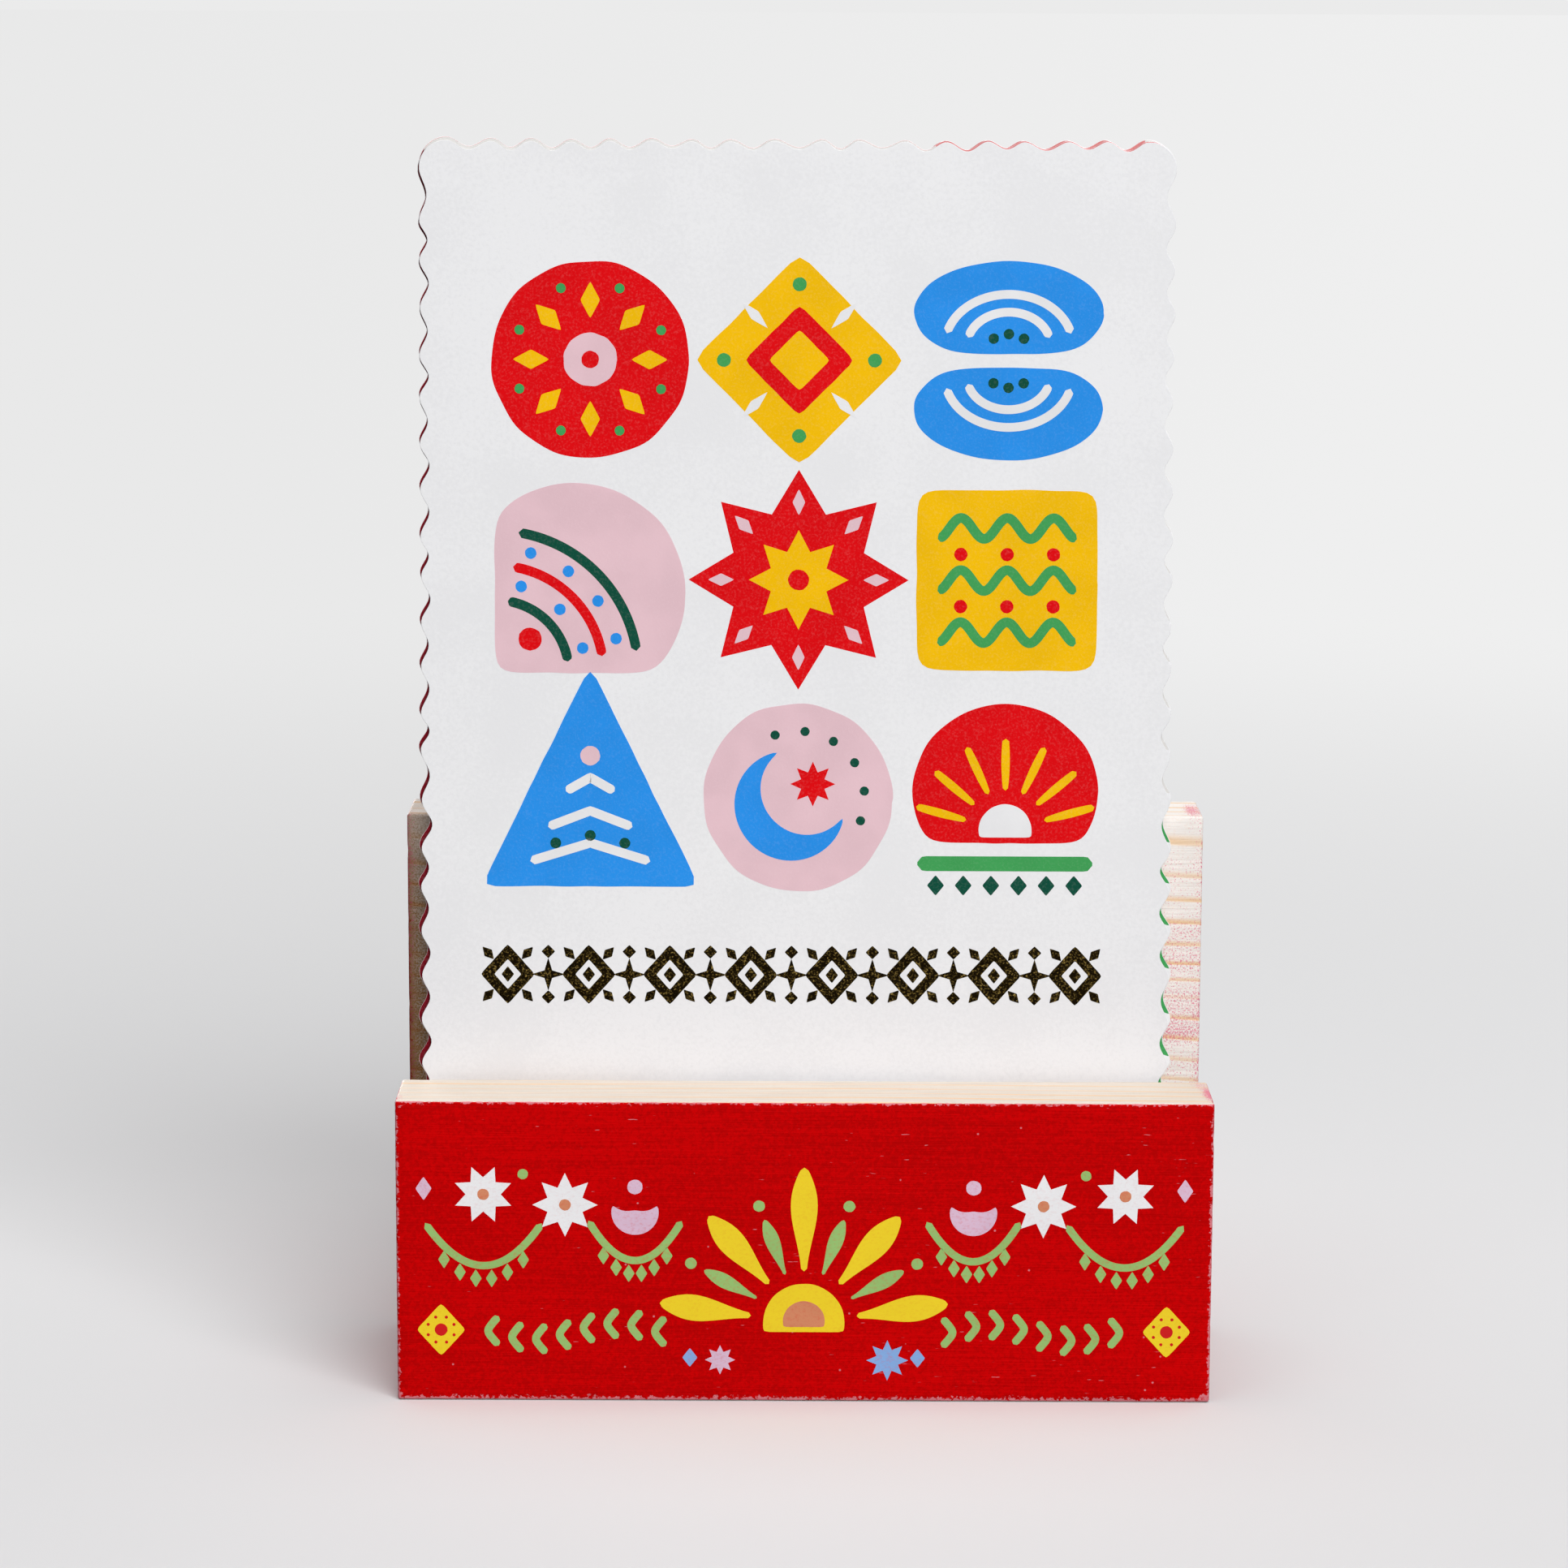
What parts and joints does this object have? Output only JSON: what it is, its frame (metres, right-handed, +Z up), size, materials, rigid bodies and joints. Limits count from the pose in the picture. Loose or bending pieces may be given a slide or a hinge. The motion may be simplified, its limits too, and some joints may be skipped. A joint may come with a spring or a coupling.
{
  "type": "desk calendar",
  "caption": "Desk calendar: a low pine stand with a red painted front board, whose slot holds a leaning pack of tall scalloped-edge cards that lift out.",
  "frame": {"origin": "centre of the stand's footprint, on the surface it stands on", "axes": "+Z up, +X along the stand to the right seen from the front, +Y to the back; the cover faces -Y"},
  "size_m": [0.14, 0.048, 0.2145],
  "materials": {
    "red_painted_pine": "matte red paint printed with a small folk border, lightly chipped at the edges",
    "bare_pine": "planed bare pine with straight orange grain lines; outer ends and back painted red",
    "cover_card_stock": "uncoated white card with matte printed shapes and a dark gold foil band",
    "month_card_stock": "uncoated white card with a printed border and plain day numbers"
  },
  "bodies": {
    "stand": {"front_board": "red_painted_pine", "spacer_block": "bare_pine", "back_board": "bare_pine"},
    "cover_card": {"cover_card": "cover_card_stock"},
    "month_card_01": {"month_card_01": "month_card_stock"},
    "month_card_02": {"month_card_02": "month_card_stock"},
    "month_card_03": {"month_card_03": "month_card_stock"},
    "month_card_04": {"month_card_04": "month_card_stock"},
    "month_card_05": {"month_card_05": "month_card_stock"},
    "month_card_06": {"month_card_06": "month_card_stock"},
    "month_card_07": {"month_card_07": "month_card_stock"},
    "month_card_08": {"month_card_08": "month_card_stock"},
    "month_card_09": {"month_card_09": "month_card_stock"},
    "month_card_10": {"month_card_10": "month_card_stock"},
    "month_card_11": {"month_card_11": "month_card_stock"},
    "month_card_12": {"month_card_12": "month_card_stock"}
  },
  "joints": [
    {"name": "cover_card_lift", "type": "slide", "parent": "stand", "child": "cover_card", "axis": [0, 0.0804, 0.9968], "range_m": [0, 0.19]},
    {"name": "month_card_01_lift", "type": "slide", "parent": "stand", "child": "month_card_01", "axis": [0, 0.0804, 0.9968], "range_m": [0, 0.19]},
    {"name": "month_card_02_lift", "type": "slide", "parent": "stand", "child": "month_card_02", "axis": [0, 0.0804, 0.9968], "range_m": [0, 0.19]},
    {"name": "month_card_03_lift", "type": "slide", "parent": "stand", "child": "month_card_03", "axis": [0, 0.0804, 0.9968], "range_m": [0, 0.19]},
    {"name": "month_card_04_lift", "type": "slide", "parent": "stand", "child": "month_card_04", "axis": [0, 0.0804, 0.9968], "range_m": [0, 0.19]},
    {"name": "month_card_05_lift", "type": "slide", "parent": "stand", "child": "month_card_05", "axis": [0, 0.0804, 0.9968], "range_m": [0, 0.19]},
    {"name": "month_card_06_lift", "type": "slide", "parent": "stand", "child": "month_card_06", "axis": [0, 0.0804, 0.9968], "range_m": [0, 0.19]},
    {"name": "month_card_07_lift", "type": "slide", "parent": "stand", "child": "month_card_07", "axis": [0, 0.0804, 0.9968], "range_m": [0, 0.19]},
    {"name": "month_card_08_lift", "type": "slide", "parent": "stand", "child": "month_card_08", "axis": [0, 0.0804, 0.9968], "range_m": [0, 0.19]},
    {"name": "month_card_09_lift", "type": "slide", "parent": "stand", "child": "month_card_09", "axis": [0, 0.0804, 0.9968], "range_m": [0, 0.19]},
    {"name": "month_card_10_lift", "type": "slide", "parent": "stand", "child": "month_card_10", "axis": [0, 0.0804, 0.9968], "range_m": [0, 0.19]},
    {"name": "month_card_11_lift", "type": "slide", "parent": "stand", "child": "month_card_11", "axis": [0, 0.0804, 0.9968], "range_m": [0, 0.19]},
    {"name": "month_card_12_lift", "type": "slide", "parent": "stand", "child": "month_card_12", "axis": [0, 0.0804, 0.9968], "range_m": [0, 0.19]}
  ]
}
